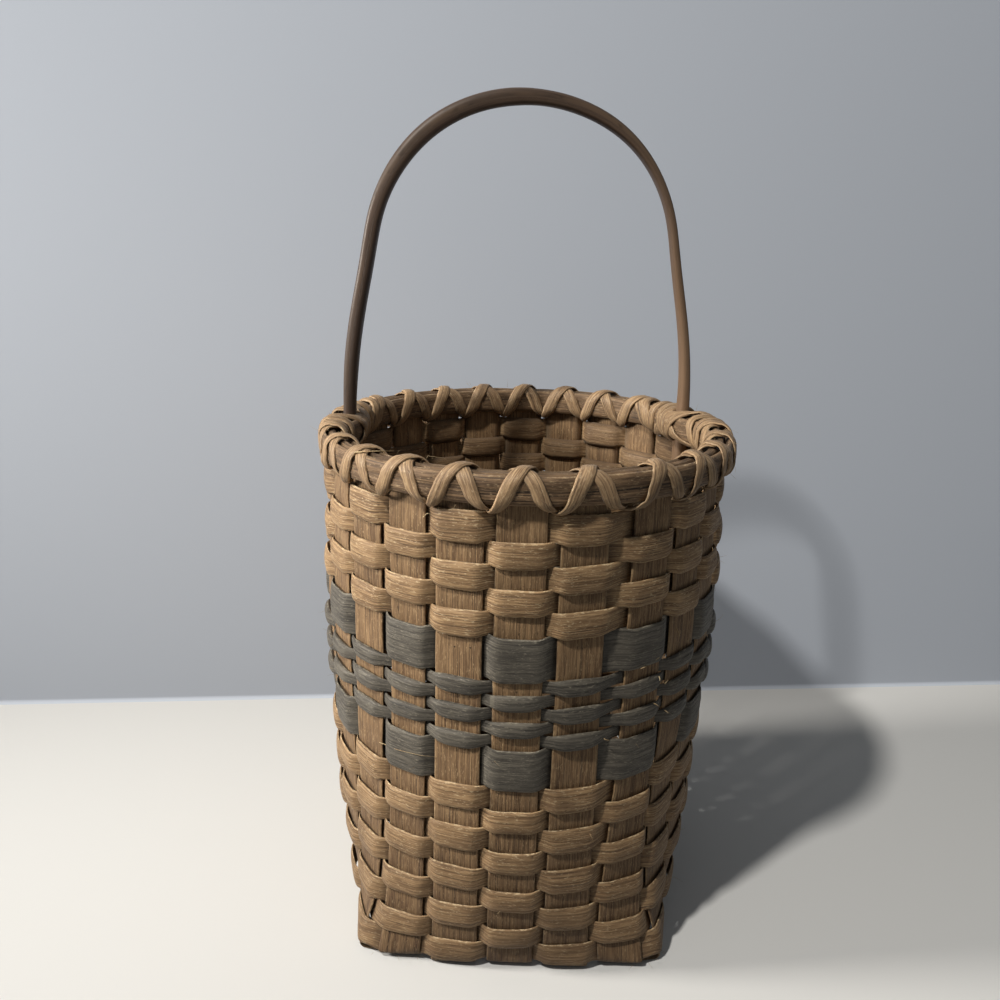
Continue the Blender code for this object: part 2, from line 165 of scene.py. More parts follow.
# Marks of the photograph, as pixels
PITS = ((455, 647), (471, 647))
FLECKS = ((676, 549), (659, 677), (665, 683), (653, 702), (664, 709), (604, 739), (741, 476))
LINES = (
    ((380, 742), (398, 749), (420, 755), (437, 757)),
    ((676, 628), (678, 632), (679, 636)),
    ((640, 668), (650, 664), (659, 657)),
    ((589, 833), (592, 838), (593, 842)),
    ((424, 517), (428, 513), (431, 511)),
    ((567, 508), (572, 505), (575, 500)),
)

# Sampling
OUTLINE_STEPS = 240
LOOK_SHARE = 0.01
LOOK_HEIGHT = 0.0004
ROW_STEPS = 16
STAKE_STEP = 0.0024
LASHER_STEPS = 32
ARM_STEPS = 24
ARCH_STEPS = 90

hoop_low, hoop_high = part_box("rim_outer_hoop")
HOOP_BOTTOM, HOOP_TOP = hoop_low[2], hoop_high[2]
HOOP_MIDDLE = (HOOP_BOTTOM + HOOP_TOP) / 2

noise = np.random.default_rng(7)


def rounded_rectangle(half_width, half_depth, radius):
    """A closed outline from the middle of the front, going round by way of +X."""
    turns = np.linspace(0, math.pi / 2, OUTLINE_STEPS)
    points = [(0, -half_depth)]
    for corner, (side_x, side_y) in enumerate(((1, -1), (1, 1), (-1, 1), (-1, -1))):
        angles = turns + (corner - 1) * math.pi / 2
        x = side_x * (half_width - radius) + radius * np.cos(angles)
        y = side_y * (half_depth - radius) + radius * np.sin(angles)
        points += list(zip(x, y))
    points.append((0, -half_depth))
    return np.array(points)


def ellipse(half_width, half_depth):
    """A closed outline from the middle of the front, going round by way of +X."""
    angles = np.linspace(-math.pi / 2, 1.5 * math.pi, 4 * OUTLINE_STEPS)
    return np.stack([half_width * np.cos(angles), half_depth * np.sin(angles)], axis=1)


def length_marks(outline):
    steps = np.linalg.norm(np.diff(outline, axis=0), axis=1)
    return np.concatenate([[0], np.cumsum(steps)])


def place_on(outline, marks, shares):
    distance = (shares % 1) * marks[-1]
    return np.stack([np.interp(distance, marks, outline[:, axis]) for axis in (0, 1)], axis=-1)


BASE_OUTLINE = rounded_rectangle(
    (FRONT_STAKES - 1) * BASE_PITCH / 2 + BASE_CORNER,
    (SIDE_STAKES - 1) * BASE_PITCH / 2 + BASE_CORNER,
    BASE_CORNER,
)
BASE_MARKS = length_marks(BASE_OUTLINE)
UNIT_RIM = ellipse(1, RIM_DEPTH_SHARE)
RIM_OUTLINE = UNIT_RIM * STAKES * RIM_PITCH / length_marks(UNIT_RIM)[-1]
RIM_MARKS = length_marks(RIM_OUTLINE)


def unit(vectors):
    return vectors / np.linalg.norm(vectors, axis=-1, keepdims=True)


def leaning(places, heights):
    """Places at a height of stakes that lean round the basket as they rise."""
    lean = np.interp(places % STAKES, np.arange(STAKES + 1), [*STAKE_LEAN_SHARES, STAKE_LEAN_SHARES[0]])
    return places + lean * np.sin(math.pi / 2 * np.minimum(heights / LEAN_HEIGHT, 1)) ** 2


def wall(places, heights):
    """Points of the stakes' middle surface."""
    shares = leaning(places, heights) / STAKES
    low = place_on(BASE_OUTLINE, BASE_MARKS, shares)
    high = place_on(RIM_OUTLINE, RIM_MARKS, shares)
    swell = SWELL_SHARE * np.exp(-(((heights - SWELL_HEIGHT) / SWELL_SPREAD) ** 2))
    flare = (1 - np.exp(-heights / FLARE_HEIGHT) + swell)[..., None]
    points = low + (high - low) * flare
    # The two sides stand out near the base, and the right one is flatter above, as the photograph shows.
    side = points[..., 0] / RIM_OUTLINE[:, 0].max()
    low_out = SIDE_LOW_OUT * np.exp(-(((heights - 0.006) / 0.012) ** 2)) * smooth_step(np.abs(side), 0.58, 0.68)
    flatter = np.where(side > 0, RIGHT_FLATTER, LEFT_FLATTER) * np.exp(-(((heights - 0.058) / 0.032) ** 2))
    points[..., 0] += np.sign(side) * (low_out - flatter * smooth_step(np.abs(side), 0.62, 0.80))
    return np.concatenate([points, heights[..., None]], axis=-1)


def stake_frames(stakes, heights):
    """Middle points, sideways directions and outward directions of flat stakes."""
    across = wall(stakes + LOOK_SHARE, heights) - wall(stakes - LOOK_SHARE, heights)
    upward = wall(stakes, heights + LOOK_HEIGHT) - wall(stakes, heights - LOOK_HEIGHT)
    return wall(stakes, heights), unit(across), unit(np.cross(across, upward))


def flat_frames(places, heights):
    """The same anywhere on the ring of flats that the stakes and the gaps between them make."""
    places, heights = np.broadcast_arrays(np.asarray(places, float), np.asarray(heights, float))
    stake = np.round(places)
    slip = (places - stake) * RIM_PITCH
    way = np.where(slip >= 0, 1.0, -1.0)
    here, across, out = stake_frames(stake, heights)
    there, next_across, next_out = stake_frames(stake + way, heights)
    share = np.clip((np.abs(slip) - HALF_FLAT) / (RIM_PITCH - 2 * HALF_FLAT), 0, 1)[..., None]
    on_flat = (np.abs(slip) <= HALF_FLAT)[..., None]
    edge = here + across * (way * HALF_FLAT)[..., None]
    next_edge = there - next_across * (way * HALF_FLAT)[..., None]
    middle = np.where(on_flat, here + across * slip[..., None], edge + (next_edge - edge) * share)
    return middle, unit(across + (next_across - across) * share), unit(out + (next_out - out) * share)


def foot_bulge(places):
    """How far the inner hoop stands in from the wall to pass round the feet of the handle."""
    feet = np.array([RIGHT_FOOT, LEFT_FOOT])
    away = np.abs((np.asarray(places)[..., None] - feet + STAKES / 2) % STAKES - STAKES / 2).min(axis=-1)
    ramp = np.clip((away * RIM_PITCH - HANDLE_ROOM) / HANDLE_RAMP, 0, 1)
    return FOOT_BULGE * (1 + np.cos(math.pi * ramp)) / 2


def smooth_field(count, lanes, cells, closed=True):
    """Smooth random lines of the given length, one for each lane, between about -1 and 1."""
    knots = noise.uniform(-1, 1, (cells + 1, lanes))
    if closed:
        knots[-1] = knots[0]
    places = np.linspace(0, cells, count, endpoint=not closed)
    low = np.minimum(places.astype(int), cells - 1)
    share = (places - low)[:, None]
    share = share * share * (3 - 2 * share)
    return knots[low] + (knots[low + 1] - knots[low]) * share


def smooth_noise(count, cells, closed=True):
    return smooth_field(count, 1, cells, closed)[:, 0]


def smooth_step(values, low, high):
    share = np.clip((values - low) / (high - low), 0, 1)
    return share * share * (3 - 2 * share)


def relax(points, rounds, closed=True):
    """Points of a line, drawn a little towards their neighbours."""
    for _ in range(rounds):
        before, after = np.roll(points, 1, 0), np.roll(points, -1, 0)
        drawn = points * 0.5 + (before + after) * 0.25
        if not closed:
            drawn[[0, -1]] = points[[0, -1]]
        points = drawn
    return points


def splint_section(ridges, relief, squareness, inner_points=5):
    """Across shares, normal shares and relief of a thin section: a ribbed outside, then a plain inside."""
    outer = np.linspace(-1, 1, 2 * ridges + 1)
    outer[1:-1] += noise.uniform(-0.22, 0.22, outer.size - 2) / ridges
    inner = np.linspace(1, -1, inner_points + 2)[1:-1]
    swell = (1 - np.abs(outer) ** squareness) ** 0.5
    ribs = relief * noise.uniform(0.2, 1.0, outer.size) * np.where(np.arange(outer.size) % 2, 1, -1) * swell
    under = -((1 - np.abs(inner) ** squareness) ** 0.5)
    across = np.concatenate([outer, inner])
    return across, np.concatenate([swell, under]), np.concatenate([ribs, np.zeros(inner.size)])


def corner_pairs(values, count):
    """Values across a section as the four corners of every face round it, for each step along."""
    beside = np.roll(values, -1)
    return np.repeat(np.stack([values, beside, beside, values], axis=-1)[None], count, axis=0)


def strip(name, path, across, out, half, thickness, section, look, node=None, crown=0.0, closed=False,
          grain=0.0, wear_and_painted_light=0.5, ridge_length=7):
    """A splint along a line of points, as one closed mesh.

    A UV map keeps its grain's length and width in metres, and the points keep how near they are to its border, how high
    they lie on its ribs, and a value that sets its abrasion, painted shade and painted edge highlight.
    """
    shares, lifts, ribs = section
    count, lanes = len(path), len(shares)
    half, thickness, crown, wear_and_painted_light = (
        np.broadcast_to(value, count).astype(float) for value in (half, thickness, crown, wear_and_painted_light)
    )
    cells = max(count // ridge_length, 3)
    relief = ribs * (0.62 + 0.38 * smooth_field(count, lanes, cells, closed))
    sideways = across[:, None] * (half[:, None] * shares)[..., None]
    raised = thickness[:, None] * lifts / 2 + relief + crown[:, None] * (1 - shares**2)
    vertices = (path[:, None] + sideways + out[:, None] * raised[..., None]).reshape(-1, 3)
    steps = np.arange(count if closed else count - 1)
    here = steps[:, None] * lanes + np.arange(lanes)
    after = ((steps + 1) % count)[:, None] * lanes + np.arange(lanes)
    faces = np.stack([here, np.roll(here, -1, 1), np.roll(after, -1, 1), after], axis=-1).reshape(-1, 4)
    corners = vertices[faces]
    volume = np.einsum("ij,ij->i", corners[:, 0], np.cross(corners[:, 1], corners[:, 2])).sum()
    volume += np.einsum("ij,ij->i", corners[:, 0], np.cross(corners[:, 2], corners[:, 3])).sum()
    marks = np.concatenate([[0], np.cumsum(np.linalg.norm(np.diff(path, axis=0), axis=1))])
    lengths = np.append(marks, marks[-1] + np.linalg.norm(path[0] - path[-1]))
    along = np.stack([lengths[steps], lengths[steps], lengths[steps + 1], lengths[steps + 1]], axis=-1)
    along = np.repeat(along[:, None], lanes, axis=1)
    # The underside's grain is another part of the same pattern.
    wide = half.mean() * shares
    beside = np.where(np.arange(lanes) <= np.argmax(shares), wide, wide + UNDERSIDE_SHIFT)
    uv = np.stack([along + grain * GRAIN_SPREAD, corner_pairs(beside, len(steps)) + grain], axis=-1).reshape(-1, 2)
    polygons = faces.tolist()
    if not closed:
        polygons += [list(range(lanes))[::-1], list(range((count - 1) * lanes, count * lanes))]
        uv = np.concatenate([uv, np.tile([grain * GRAIN_SPREAD, grain], (2 * lanes, 1))])
    mesh = bpy.data.meshes.new(name)
    mesh.from_pydata(vertices.tolist(), [], polygons)
    layer = mesh.uv_layers.new(name="grain")
    layer.uv.foreach_set("vector", uv.astype(np.float32).ravel())
    greatest = max(np.abs(ribs).max(), 1e-9)
    points = {
        "border": np.repeat(np.abs(shares)[None], count, axis=0),
        "rib": 0.5 + 0.5 * relief / greatest,
        "wear_and_painted_light": np.repeat(wear_and_painted_light[:, None], lanes, axis=1),
    }
    for attribute, values in points.items():
        kept = mesh.attributes.new(attribute, "FLOAT", "POINT")
        kept.data.foreach_set("value", values.astype(np.float32).ravel())
    if volume < 0:
        mesh.flip_normals()
    return piece_of(name, mesh, MATERIALS[look], node)


def piece_of(name, mesh, material, node=None):
    """A smooth shaded object of the basket's one body."""
    mesh.shade_smooth()
    piece = bpy.data.objects.new(name, mesh)
    bpy.context.scene.collection.objects.link(piece)
    mesh.materials.append(material)
    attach(piece, "root")
    if node:
        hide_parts(node)
    return piece


def add(tree, kind, **settings):
    """A shader node with its settings and its plain or linked inputs."""
    made = tree.nodes.new(kind)
    for key, value in settings.items():
        if hasattr(made, key):
            setattr(made, key, value)
            continue
        socket = made.inputs[int(key[1:])] if key[1:].isdigit() else made.inputs[key.replace("_", " ")]
        if isinstance(value, bpy.types.NodeSocket):
            tree.links.new(value, socket)
        else:
            socket.default_value = value
    return made


def maths(tree, operation, first, second):
    return add(tree, "ShaderNodeMath", operation=operation, i0=first, i1=second).outputs[0]


def kept_value(tree, name):
    return add(tree, "ShaderNodeAttribute", attribute_name=name).outputs["Fac"]


def grain_noise(tree, grain, along, across, shift=0.0, detail=3.0, roughness=0.6):
    """Noise with so many cells to the metre along and across the fibres."""
    made = add(tree, "ShaderNodeMapping", Vector=grain)
    made.inputs["Scale"].default_value = (along, across, 1)
    made.inputs["Location"].default_value = (shift, shift, shift)
    return noise_of(tree, made.outputs[0], 1.0, detail, roughness)


def noise_of(tree, vector, scale, detail=3.0, roughness=0.6):
    made = add(tree, "ShaderNodeTexNoise", Vector=vector, Scale=scale, Detail=detail, Roughness=roughness)
    return made.outputs["Fac"]


def ramp(tree, factor, low, high, start=0.0, end=1.0):
    """A smooth change of a number between two levels."""
    made = add(tree, "ShaderNodeMapRange", interpolation_type="SMOOTHSTEP", Value=factor)
    made.inputs["From Min"].default_value = low
    made.inputs["From Max"].default_value = high
    made.inputs["To Min"].default_value = start
    made.inputs["To Max"].default_value = end
    return made.outputs["Result"]


def blend(tree, factor, first, second):
    """Two colours mixed by a factor."""
    made = tree.nodes.new("ShaderNodeMix")
    made.data_type = "RGBA"
    for name, value in (("Factor_Float", factor), ("A_Color", first), ("B_Color", second)):
        socket = next(one for one in made.inputs if one.identifier == name)
        if isinstance(value, bpy.types.NodeSocket):
            tree.links.new(value, socket)
        elif name == "Factor_Float":
            socket.default_value = value
        else:
            socket.default_value = (*value[:3], 1)
    return next(one for one in made.outputs if one.identifier == "Result_Color")


def tone(red, green, blue):
    """A screen colour from 0 to 255 as the shader's linear colour."""
    parts = (value / 255 for value in (red, green, blue))
    return tuple(part / 12.92 if part <= 0.04045 else ((part + 0.055) / 1.055) ** 2.4 for part in parts)


def new_material(name):
    material = bpy.data.materials.new(name)
    material.use_nodes = True
    return material, material.node_tree, material.node_tree.nodes["Principled BSDF"]


def splint_material(name, light, dark, deep, pale, fibre, groove_shade, bump, roughness):
    """Split reed: fine fibres along the strip, painted shade down between the ribs, pale flecks that are partly pale
    fibre and partly painted glints, pale fibre ends, pale edges that are partly abrasion and partly painted highlight,
    painted shade where a row dives behind the stakes, stains and specks.
    """
    material, tree, shader = new_material(name)
    grain = add(tree, "ShaderNodeUVMap", uv_map="grain").outputs[0]
    border, rib, wear_and_painted_light = (kept_value(tree, kept) for kept in ("border", "rib", "wear_and_painted_light"))
    place = add(tree, "ShaderNodeTexCoord").outputs["Object"]
    fine = grain_noise(tree, grain, 75, fibre, detail=4, roughness=0.7)
    pale_fleck_glint = grain_noise(tree, grain, 620, fibre * 2.0, 4.4, detail=2)
    thread = grain_noise(tree, grain, 30, fibre * 1.4, 6.2, detail=1)
    broad = grain_noise(tree, grain, 24, fibre * 0.26, 3.1, detail=2)
    slow = grain_noise(tree, grain, 12, 70, 7.7, detail=2)
    speck = grain_noise(tree, grain, 420, 1700, 1.3, detail=1)
    stain = noise_of(tree, place, 38)
    colour = blend(tree, ramp(tree, fine, 0.40, 0.60), dark, light)
    # Painted shade: darker down between the ribs.
    colour = blend(tree, ramp(tree, rib, 0.12, 0.50, groove_shade, 0), colour, deep)
    colour = blend(tree, ramp(tree, broad, 0.48, 0.72, 0, 0.45), colour, dark)
    colour = blend(tree, ramp(tree, thread, 0.30, 0.38, 0.7, 0), colour, deep)
    # Pale flecks along the fibres: partly pale fibre, partly painted glints.
    colour = blend(tree, ramp(tree, pale_fleck_glint, 0.57, 0.72, 0, 0.55), colour, pale)
    colour = blend(tree, ramp(tree, slow, 0.40, 0.72, 0, 0.30), colour, light)
    colour = blend(tree, ramp(tree, stain, 0.50, 0.72, 0, 0.35), colour, deep)
    colour = blend(tree, ramp(tree, speck, 0.75, 0.80, 0, 0.8), colour, deep)
    # Painted shade where a row dives behind the stakes.
    colour = blend(tree, ramp(tree, wear_and_painted_light, 0.05, 0.45, 0.45, 0), colour, deep)
    rise = add(tree, "ShaderNodeSeparateXYZ", Vector=place).outputs["Z"]
    colour = blend(tree, ramp(tree, rise, 0.0, 0.105, 0.34, 0), colour, deep)
    # Pale edges: partly abrasion, partly a painted highlight of the lit edges.
    worn_edge_and_highlight = maths(tree, "MULTIPLY", ramp(tree, border, 0.88, 1.0), ramp(tree, pale_fleck_glint, 0.45, 0.62, 0.05, 0.6))
    worn_edge_and_highlight = maths(tree, "MULTIPLY", worn_edge_and_highlight, ramp(tree, wear_and_painted_light, 0.2, 0.7))
    colour = blend(tree, worn_edge_and_highlight, colour, pale)
    colour = blend(tree, ramp(tree, wear_and_painted_light, 0.90, 0.99, 0, 0.75), colour, pale)
    tree.links.new(colour, shader.inputs["Base Color"])
    tree.links.new(ramp(tree, fine, 0.3, 0.7, roughness + 0.1, roughness - 0.08), shader.inputs["Roughness"])
    shader.inputs["Specular IOR Level"].default_value = 0.35
    shader.inputs["Sheen Weight"].default_value = 0.05
    height = maths(tree, "ADD", fine, maths(tree, "MULTIPLY", pale_fleck_glint, 0.45))
    height = maths(tree, "SUBTRACT", height, ramp(tree, speck, 0.70, 0.80, 0, 0.6))
    relief = add(tree, "ShaderNodeBump", Height=height, Strength=bump, Distance=0.0003)
    tree.links.new(relief.outputs[0], shader.inputs["Normal"])
    return material


def handle_material(name):
    """Bent wood, smoothed by rubbing: long fine grain, darker pores, painted highlights on its edges, painted light on
    the right arm and painted shade on the left, and a soft shine.
    """
    material, tree, shader = new_material(name)
    grain = add(tree, "ShaderNodeUVMap", uv_map="grain").outputs[0]
    border, side = kept_value(tree, "border"), kept_value(tree, "wear_and_painted_light")
    fine = grain_noise(tree, grain, 26, 1500, detail=4)
    rings = grain_noise(tree, grain, 8, 420, 2.3, detail=2)
    slow = grain_noise(tree, grain, 16, 60, 5.1, detail=2)
    pores = grain_noise(tree, grain, 190, 3000, 9.2, detail=1)
    colour = blend(tree, ramp(tree, fine, 0.34, 0.66), tone(60, 46, 37), tone(88, 71, 58))
    colour = blend(tree, ramp(tree, rings, 0.42, 0.62, 0, 0.6), colour, tone(76, 53, 41))
    colour = blend(tree, ramp(tree, slow, 0.4, 0.7, 0, 0.5), colour, tone(94, 77, 62))
    colour = blend(tree, ramp(tree, pores, 0.62, 0.72, 0, 0.7), colour, tone(46, 34, 26))
    # Painted light and shade: the right arm is painted paler and the left arm darker, most towards their feet.
    colour = blend(tree, ramp(tree, side, 0.50, 0.95, 0, 0.70), colour, tone(148, 119, 92))
    colour = blend(tree, ramp(tree, side, 0.05, 0.60, 0.45, 0), colour, tone(52, 43, 39))
    # Painted highlight along the edges, strongest down the right arm.
    edge_highlight = maths(tree, "MULTIPLY", ramp(tree, border, 0.80, 0.97), ramp(tree, fine, 0.35, 0.6, 0.05, 0.35))
    colour = blend(tree, maths(tree, "MULTIPLY", edge_highlight, side), colour, tone(140, 114, 88))
    tree.links.new(colour, shader.inputs["Base Color"])
    tree.links.new(ramp(tree, fine, 0.3, 0.7, 0.56, 0.42), shader.inputs["Roughness"])
    shader.inputs["Specular IOR Level"].default_value = 0.4
    relief = add(tree, "ShaderNodeBump", Height=fine, Strength=0.5, Distance=0.0002)
    tree.links.new(relief.outputs[0], shader.inputs["Normal"])
    return material


def fibre_material(name, light, dark):
    """Torn reed fibre, paler and darker from one to the next."""
    material, tree, shader = new_material(name)
    place = add(tree, "ShaderNodeTexCoord").outputs["Object"]
    colour = blend(tree, ramp(tree, noise_of(tree, place, 120), 0.4, 0.6), dark, light)
    tree.links.new(colour, shader.inputs["Base Color"])
    shader.inputs["Roughness"].default_value = 0.6
    shader.inputs["Specular IOR Level"].default_value = 0.3
    return material


UNDERSIDE_SHIFT = 0.05
GRAIN_SPREAD = 3.7
MATERIALS = {
    "natural_splint": splint_material(
        "natural splint",
        tone(176, 144, 105), tone(126, 98, 68), tone(66, 47, 32), tone(236, 212, 170), 1250, 0.75, 0.9, 0.58,
    ),
    "stake_splint": splint_material(
        "stake splint",
        tone(156, 126, 91), tone(108, 82, 56), tone(56, 39, 27), tone(200, 173, 132), 1300, 1.0, 0.8, 0.62,
    ),
    "dyed_splint": splint_material(
        "dyed splint",
        tone(104, 98, 87), tone(69, 64, 57), tone(36, 33, 29), tone(156, 148, 130), 1350, 0.6, 0.9, 0.56,
    ),
    "lashing_splint": splint_material(
        "lashing splint",
        tone(182, 151, 114), tone(132, 105, 77), tone(62, 45, 32), tone(226, 202, 164), 1500, 0.85, 0.8, 0.54,
    ),
    "hoop": splint_material(
        "rim hoop reed",
        tone(140, 112, 82), tone(90, 69, 49), tone(40, 28, 19), tone(192, 166, 128), 1100, 0.95, 0.9, 0.60,
    ),
    "handle_wood": handle_material("bent wood"),
}


def over_under(places, number, softness):
    """From 1 where a row lies outside a stake to -1 where it lies inside."""
    swing = np.cos(math.pi * (places - number))
    return swing / np.sqrt(swing**2 + softness * (1 - swing**2))


def row_table():
    """Node name, kind, middle height, distance and shown height of each row, from the table up."""
    bottom = BASE_LEVEL + BASE_STEP + ROW_BEND
    rows = []
    for number, kind in enumerate(ROW_ORDER, 1):
        pitch, odd, even = ROW_KINDS[kind]
        rows.append((f"weaver_{number:02d}_{kind}", kind, bottom + pitch / 2, pitch, odd if number % 2 else even))
        bottom += pitch
    node = f"weaver_{len(rows) + 1}_rim_row"
    rows.append((node, "rim", HOOP_MIDDLE - RIM_ROW_DROP, HOOP_HEIGHT, HOOP_HEIGHT * RIM_ROW_SHARE))
    return rows


RIM_ROW_DROP = 0.0004
RIM_ROW_SHARE = 0.98
RIM_ROW_HANG = 0.0034
ROWS = row_table()


def weaver(number, node, kind, centre, pitch, shown):
    """One row: it lies on the stakes, dives between them, and is tallest in the middle of each span."""
    bulge, end_share, full_at, softness, thickness, ridges, relief, crown = ROW_LOOKS[kind]
    count = STAKES * ROW_STEPS
    places = ROW_SEAM_PLACE + np.arange(count) / ROW_STEPS
    narrow = kind == "narrow_dyed"
    side = over_under(places, number, softness)
    swing = np.abs(np.cos(math.pi * (places - number)))
    full = smooth_step(swing, 0.06, full_at)
    bulge = bulge * (1 + 0.12 * smooth_noise(count, 31))
    tall = pitch * end_share + (shown * (1 + 0.035 * smooth_noise(count, 24)) - pitch * end_share) * full
    drift = 0.0003 * smooth_noise(count, 17) + 0.0002 * smooth_noise(count, 41)
    if kind == "wide_dyed":
        drift = drift * 0.4
    middle_height = centre + drift + ROW_END_RISE_SHARE * pitch * (1 - full)
    if number == 1:
        bulge = bulge * FIRST_ROW_BULGE_SHARE
    if number == len(ROWS) - 1:
        tall = tall + TOP_ROW_RISE
        middle_height = middle_height + TOP_ROW_RISE / 2
    if kind == "rim":
        tall = tall + RIM_ROW_HANG * (1 - full)
        middle_height = centre - RIM_ROW_HANG / 2 * (1 - full)
    lines, outs = [], []
    for way in (-1, 1):
        here, _, out = flat_frames(places, np.maximum(middle_height + way * tall / 2, LOOK_HEIGHT))
        lines.append(relax(here + out * (side * bulge)[:, None], 2))
        outs.append(out)
    low, high = lines
    half = np.linalg.norm(high - low, axis=1) / 2
    if narrow:
        thickness = thickness * (0.42 + 0.58 * full)
    section = splint_section(ridges, relief, 2.1 if narrow else 5)
    # A span gets its pale edges, partly abrasion and partly painted highlight, most in its middle, painted shade where
    # it dives behind the stakes, and a narrow one is frayed pale at one end.
    wear_and_painted_light = 0.08 + 0.62 * smooth_step(side, -0.75, 0.55)
    if narrow:
        part = (places - number) % 2
        frayed = smooth_step(part, 1.40, 1.56) * (1 - smooth_step(part, 1.58, 1.80))
        wear_and_painted_light = wear_and_painted_light + 0.28 * frayed * np.clip(smooth_noise(count, 24), 0, 1) ** 0.5
    look = "dyed_splint" if "dyed" in kind else "natural_splint"
    return strip(
        node + "_splint", (low + high) / 2, unit(high - low), unit(outs[0] + outs[1]), half, thickness, section,
        look, node, crown=crown * side, closed=True, grain=0.013 + 0.31 * number, wear_and_painted_light=wear_and_painted_light,
    )


def splint(node, place, count, near_stake, far_stake, forward, number):
    """One long splint: down one wall, across the base in plain weave and up the opposite wall."""
    sideways = np.array([abs(forward[1]), abs(forward[0]), 0.0])
    parity = round(place / BASE_PITCH) + round(forward[1])
    forward = np.array([*forward, 0.0])
    last = (count - 1) // 2

    def level(step):
        return BASE_LEVEL + BASE_STEP * (1 if (parity + step) % 2 == 0 else -1)

    turn = level(last)
    top = HOOP_TOP - STAKE_TOP_DROP
    walls = []
    for stake, way in ((near_stake, -1), (far_stake, 1)):
        steps = int((top - turn) / STAKE_STEP)
        heights = np.linspace(turn + BASE_TURN_RADIUS, top, steps)
        here, across, out = stake_frames(np.full(steps, float(stake)), heights)
        press = np.zeros(steps)
        for row, (_, kind, centre, pitch, _) in enumerate(ROWS, 1):
            lean = 1 if (stake + row) % 2 else -1
            depth = 0 if kind == "rim" else STAKE_PRESS
            press += lean * depth * np.exp(-(((heights - centre) / (pitch * 0.42)) ** 2))
        here = here + out * press[:, None]
        angles = np.linspace(0, math.pi / 2, TURN_STEPS, endpoint=False)[:, None]
        foot = here[0] - forward * way * BASE_TURN_RADIUS * (1 - np.sin(angles))
        foot[:, 2] = turn + BASE_TURN_RADIUS * (1 - np.cos(angles[:, 0]))
        flip = np.sign(across @ sideways)[:, None]
        beside = np.vstack([np.tile(sideways, (TURN_STEPS, 1)), across * flip])
        walls.append((np.vstack([foot, here]), beside))
    floor = []
    for step in range(-last, last + 1):
        for share in (-1, -0.4, 0.4, 1):
            run = forward * (step * BASE_PITCH + share * HALF_FLAT)
            floor.append(sideways * place + run + np.array([0, 0, level(step)]))
    floor = np.array(floor)
    inside = np.abs(floor @ forward) < np.abs(walls[1][0][0] @ forward) - CLEARANCE
    floor = floor[inside]
    path = np.vstack([walls[0][0][::-1], floor, walls[1][0]])
    beside = np.vstack([walls[0][1][::-1], np.tile(sideways, (len(floor), 1)), walls[1][1]])
    run = unit(np.gradient(path, axis=0))
    out = unit(np.cross(beside, run))
    # The outside of the basket is the ribbed face: below the floor and away from the middle of the walls.
    away = np.concatenate([path[:, :2] - path[:, :2].mean(axis=0), -np.full((len(path), 1), 0.02)], axis=1)
    out = out * np.sign((out * away).sum())
    width = STAKE_SHOWN_WIDTH * (1 + 0.012 * smooth_noise(len(path), 29, closed=False))
    if node == NARROW_STAKE:
        width = width * NARROW_STAKE_SHARE
    wear_and_painted_light = 0.46 + 0.10 * smooth_noise(len(path), 23, closed=False)
    return strip(
        node + "_splint", path, beside, out, width / 2, STAKE_THICKNESS,
        splint_section(24, STAKE_RELIEF, 10), "stake_splint", node, crown=STAKE_CROWN,
        grain=0.17 + 0.29 * number, wear_and_painted_light=wear_and_painted_light, ridge_length=9,
    )


BASE_TURN_RADIUS = 0.0024
TURN_STEPS = 5
STAKE_PRESS = 0.00022
STAKE_RELIEF = 0.00012
STAKE_SHOWN_WIDTH = 0.0163
STAKE_CROWN = 0.00012
STAKE_TOP_DROP = 0.0007
NARROW_STAKE = "stake_front_to_back_1"
NARROW_STAKE_SHARE = 0.93


def splints():
    for number in range(FRONT_STAKES):
        step = number - (FRONT_STAKES - 1) // 2
        node = f"stake_front_to_back_{number + 1}"
        splint(node, step * BASE_PITCH, SIDE_STAKES, step, STAKES / 2 - step, (0, 1), number)
    for number in range(SIDE_STAKES):
        step = number - (SIDE_STAKES - 1) // 2
        node = f"stake_side_to_side_{number + 1}"
        near, far = STAKES * 3 / 4 - step, STAKES / 4 + step
        splint(node, step * BASE_PITCH, FRONT_STAKES, near, far, (1, 0), number + FRONT_STAKES)


def hoop(node, side):
    """A half round hoop with long open fibres, outside or inside the stakes' tops."""
    count = STAKES * ROW_STEPS
    places = ROW_SEAM_PLACE + np.arange(count) / ROW_STEPS
    inward = foot_bulge(places) if side < 0 else np.zeros(count)
    lines = []
    growth = rim_growth(places) if side > 0 else np.zeros(count)
    for z in (HOOP_BOTTOM, HOOP_TOP):
        here, _, out = flat_frames(places, np.full(count, z))
        offset = side * (WALL_FACE + (HOOP_THICKNESS + growth) / 2 + inward)
        lines.append(relax(here + out * offset[:, None], 6))
    _, _, out = flat_frames(places, np.full(count, HOOP_MIDDLE))
    middle = (lines[0] + lines[1]) / 2
    middle[:, 2] += 0.0002 * smooth_noise(count, 19)
    half = HOOP_HEIGHT / 2 * (1 + 0.03 * smooth_noise(count, 27))
    return strip(
        node + "_reed", middle, unit(lines[1] - lines[0]), relax(out, 6) * side, half, HOOP_THICKNESS + growth,
        splint_section(10, HOOP_RELIEF, 2.8), "hoop", node, crown=HOOP_CROWN, closed=True,
        grain=7.1 + side, wear_and_painted_light=0.55 + 0.1 * smooth_noise(count, 37), ridge_length=14,
    )


RIGHT_RIM_GROWTH = 0.0007
LEFT_RIM_LOSS = 0.0015
HOOP_RELIEF = 0.00036
HOOP_CROWN = 0.0003


